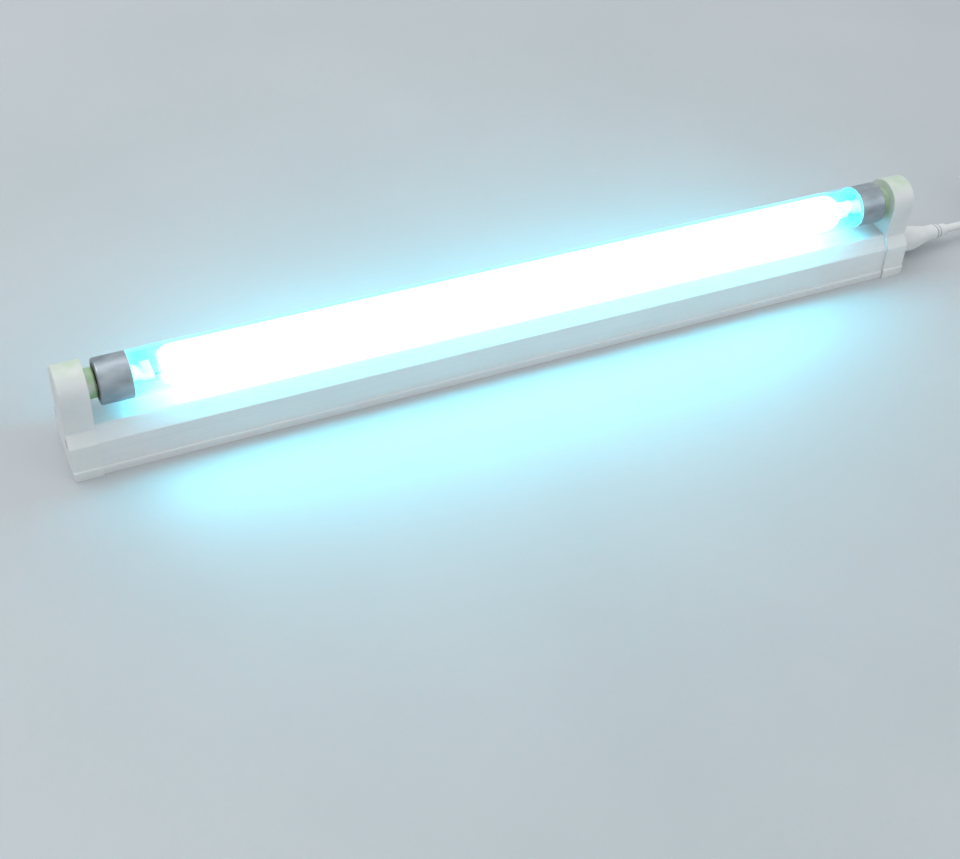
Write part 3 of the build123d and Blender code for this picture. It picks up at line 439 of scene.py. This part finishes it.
def coil(x):
    """A wire wound about a line along Y. Its middle runs round a circle as y goes from -half to half,
    and each point lies one wire radius from it, on its way out and across its way."""
    t = np.linspace(0.0, 2 * np.pi * COIL_TURNS, COIL_STEPS)[:, None]
    a = np.linspace(0.0, 2 * np.pi, WIRE_SIDES, endpoint=False)[None, :, None]
    rise = CATHODE_HALF / (np.pi * COIL_TURNS)
    length = np.hypot(COIL_RADIUS, rise)
    out = np.stack([np.cos(t), np.zeros_like(t), np.sin(t)], axis=-1)
    over = np.stack([rise * np.sin(t), np.full_like(t, COIL_RADIUS), -rise * np.cos(t)], axis=-1)
    middle = COIL_RADIUS * out
    middle[..., 1] = rise * t - CATHODE_HALF
    ring = COIL_WIRE * (np.cos(a) * out + np.sin(a) * over / length)
    return middle + ring + np.array([x, 0.0, AXIS])


oxide = mottled(
    "cathode_oxide", (0.40, 0.41, 0.40), (0.72, 0.74, 0.72), (2500.0, 2500.0, 2500.0), (0.5, 0.7),
    {}, 0.03,
)
for side, hand in ((-1, "left"), (1, "right")):
    faces = grid_faces(COIL_STEPS, WIRE_SIDES)
    cathode = mesh_piece(f"{hand}_cathode_coil", coil(side * CATHODE_X), faces, oxide)
    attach(cathode, "root")
    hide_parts(f"{hand}_cathode")


# Lamp caps: drawn aluminium cups cemented over the necks, each turned in over an insulating disc.
# Drawing leaves fine rings round the cup, and handling dulls it in patches.
cap_metal, shader = finish("cap_aluminium", {"Metallic": 1.0})
rings = grain(cap_metal, (2600.0, 14.0, 14.0), 2.0)
handled = grain(cap_metal, (140.0, 220.0, 220.0), 4.0)
join(cap_metal, shades(cap_metal, handled, [
    (0.30, (0.29, 0.34, 0.38)), (0.50, (0.39, 0.445, 0.485)), (0.70, (0.49, 0.54, 0.575)),
]), shader, "Base Color")
join(cap_metal, spread(cap_metal, handled, 0.38, 0.52), shader, "Roughness")
relief(cap_metal, shader, rings, 0.012 * MM)
dress("left_lamp_cap", cap_metal)
dress("right_lamp_cap", cap_metal)
disc_brown = mottled(
    "disc_brown", (0.07, 0.05, 0.04), (0.13, 0.10, 0.08), (900.0, 900.0, 900.0), (0.5, 0.65), {}, 0.03,
)
dress("left_cap_disc", disc_brown)
dress("right_cap_disc", disc_brown)
pin_brass = drawn_metal(
    "pin_brass", (0.56, 0.50, 0.34), (0.78, 0.72, 0.54), (80.0, 900.0, 900.0), (0.18, 0.3),
)
dress("left_lamp_pins", pin_brass)
dress("right_lamp_pins", pin_brass)


# Cord connector and plug: soft white plastic moulded over the cord's two ends.
# Both are satin and a little greyer in patches, the plug's blades are plated and the tie is black.
soft_white, shader = finish("soft_white", {"IOR": 1.5})
satin = grain(soft_white, (1900.0, 1900.0, 1900.0), 2.0)
handled = grain(soft_white, (90.0, 150.0, 150.0), 4.0)
join(soft_white, shades(soft_white, handled, [
    (0.30, (0.655, 0.675, 0.685)), (0.52, (0.715, 0.73, 0.735)), (0.75, (0.75, 0.76, 0.76)),
]), shader, "Base Color")
join(soft_white, spread(soft_white, satin, 0.40, 0.54), shader, "Roughness")
relief(soft_white, shader, satin, 0.03 * MM)
connector = dress("cord_connector", soft_white)
plug = dress("mains_plug", soft_white)
blades = dress("plug_blades", drawn_metal(
    "blade_plate", (0.56, 0.54, 0.48), (0.74, 0.72, 0.66), (50.0, 900.0, 900.0), (0.2, 0.34),
))
tie = dress("cord_tie", mottled(
    "tie_black", (0.025, 0.025, 0.027), (0.06, 0.06, 0.063), (1400.0, 1400.0, 1400.0), (0.6, 0.8),
    {"Sheen Weight": 0.2}, 0.06,
))


# Cord: a round white lead that leaves the connector straight, lies down and is folded into a hank.
# The hank lies in line with the batten, two turns wide and six high, under one tie.
# Its route is in millimetres.
CORD_DIAMETER = 3.2 * MM
TO_HANK = [(184.5, 0, 5.6), (192.5, 0, 5.6), (201.5, 1.4, 4.2), (209.5, 4.6, 2.8), (215.0, 7.6, 2.25)]
TO_PLUG = [
    (273.5, 8.8, 17.95), (280.5, 8.0, 15.65), (287.5, 6.0, 12.05), (295.0, 3.6, 9.15),
    (303.0, 2.0, 8.0), (310.0, 2.0, 8.0),
]
HANK_LEFT, HANK_RIGHT, HANK_Y = 226.0, 264.0, -4.0
HANK_MIDDLE = (HANK_LEFT + HANK_RIGHT) / 2
OUTER, INNER, BOTTOM, STEP, LAYERS = 12.8, 9.6, 2.25, 3.2, 6
FOLD_POINTS = 7
FOLD = np.radians(np.linspace(90.0, -90.0, FOLD_POINTS))
REACH = 1.0 / 0.9665  # the curve runs this much inside its control points
SWELL, WAIST = 1.2, 0.15
slots = []
for layer in range(LAYERS):
    pair = (OUTER, INNER) if layer % 2 == 0 else (INNER, OUTER)
    slots += [(radius, BOTTOM + STEP * layer) for radius in pair]
top = slots[-1][1]
route = TO_HANK + [(HANK_LEFT, HANK_Y + OUTER, BOTTOM)]
for (radius, height), (next_radius, next_height) in zip(slots, slots[1:]):
    route.append((HANK_MIDDLE, HANK_Y + radius - WAIST, height))
    wide = REACH * radius
    for angle in FOLD:
        route.append((HANK_RIGHT + wide * np.cos(angle), HANK_Y + wide * np.sin(angle), height))
    route.append((HANK_MIDDLE, HANK_Y - radius + WAIST, height))
    swell = 0.0 if next_radius != radius else (SWELL if radius == OUTER else -SWELL)
    for angle, share in zip(FOLD[::-1], np.linspace(0.0, 1.0, FOLD_POINTS)):
        eased = share * share * (3.0 - 2.0 * share)
        wide = REACH * (radius + (next_radius - radius) * eased) + swell * np.sin(np.pi * share)
        lift = height + (next_height - height) * eased
        route.append((HANK_LEFT - wide * np.cos(angle), HANK_Y + wide * np.sin(angle), lift))
route += [(HANK_MIDDLE, HANK_Y + OUTER - WAIST, top), (HANK_RIGHT, HANK_Y + OUTER, top)] + TO_PLUG
curve = bpy.data.curves.new("cord_lead", "CURVE")
curve.dimensions = "3D"
curve.bevel_depth = CORD_DIAMETER / 2
curve.bevel_resolution = 4
curve.resolution_u = 4
curve.use_fill_caps = True
line = curve.splines.new("NURBS")
line.points.add(len(route) - 1)
controls = np.ones((len(route), 4))
controls[:, :3] = np.array(route) * MM
line.points.foreach_set("co", controls.ravel())
line.order_u = 3
line.use_endpoint_u = True
cord_white, shader = finish("cord_white", {"IOR": 1.5})
sheath = grain(cord_white, (260.0, 260.0, 260.0), 4.0)
join(cord_white, shades(cord_white, sheath, [
    (0.30, (0.66, 0.68, 0.69)), (0.52, (0.72, 0.735, 0.74)), (0.75, (0.755, 0.765, 0.765)),
]), shader, "Base Color")
join(cord_white, spread(cord_white, sheath, 0.34, 0.48), shader, "Roughness")
relief(cord_white, shader, sheath, 0.02 * MM)
curve.materials.append(cord_white)
cord = bpy.data.objects.new("cord_lead", curve)
bpy.context.collection.objects.link(cord)
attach(cord, "root")
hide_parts("cord", "cord_hank", "cord_tail")


# Floor, light and camera: a plain pale surface with a soft sheen, under two broad lamps in a pale room.
# The camera stands to the left of the lamp's middle and looks down along it.
FLOOR_HALF = 14.0
ROOM_COLOUR, ROOM_STRENGTH = (0.93, 0.97, 1.0, 1.0), 0.72
floor_pale, shader = finish("floor_pale", {"IOR": 1.45})
wear = grain(floor_pale, (9.0, 9.0, 9.0), 3.0)
join(floor_pale, shades(floor_pale, wear, [
    (0.30, (0.475, 0.51, 0.53)), (0.70, (0.51, 0.54, 0.56)),
]), shader, "Base Color")
join(floor_pale, spread(floor_pale, wear, 0.36, 0.44), shader, "Roughness")
corners = np.array([(-1, -1, 0), (1, -1, 0), (1, 1, 0), (-1, 1, 0)]) * FLOOR_HALF
floor = mesh_piece("floor", corners, [[0, 1, 2, 3]], floor_pale, smooth=False)

room = bpy.data.worlds.new("pale_room")
room.use_nodes = True
background = room.node_tree.nodes["Background"]
background.inputs["Color"].default_value = ROOM_COLOUR
background.inputs["Strength"].default_value = ROOM_STRENGTH
bpy.context.scene.world = room


def soft_lamp(name, stand, size, power):
    """A square area lamp on its stand, turned towards the origin."""
    light = bpy.data.lights.new(name, "AREA")
    light.size = size
    light.energy = power
    lamp = bpy.data.objects.new(name, light)
    bpy.context.collection.objects.link(lamp)
    lamp.location = stand
    x, y, z = stand
    lamp.rotation_euler = (np.arctan2(np.hypot(x, y), z), 0.0, np.arctan2(x, -y))


soft_lamp("broad_lamp", (-0.45, 0.35, 1.1), 0.9, 5.6)
soft_lamp("side_lamp", (0.7, -0.8, 0.7), 0.7, 1.6)

view = bpy.data.cameras.new("view")
view.sensor_fit = "HORIZONTAL"
view.sensor_width = 36.0
view.lens = 53.461
view.clip_start = 0.01
camera = bpy.data.objects.new("view", view)
bpy.context.collection.objects.link(camera)
right = (0.90831, -0.41332, 0.06440)
up = (0.24248, 0.64570, 0.72407)
back = (-0.34085, -0.64206, 0.68672)
stand = np.eye(4)
stand[:3, 0], stand[:3, 1], stand[:3, 2] = right, up, back
stand[:3, 3] = (-0.18859, -0.33292, 0.31939)
camera.matrix_world = Matrix(stand)
bpy.context.scene.camera = camera
bpy.context.scene.view_settings.view_transform = "Standard"
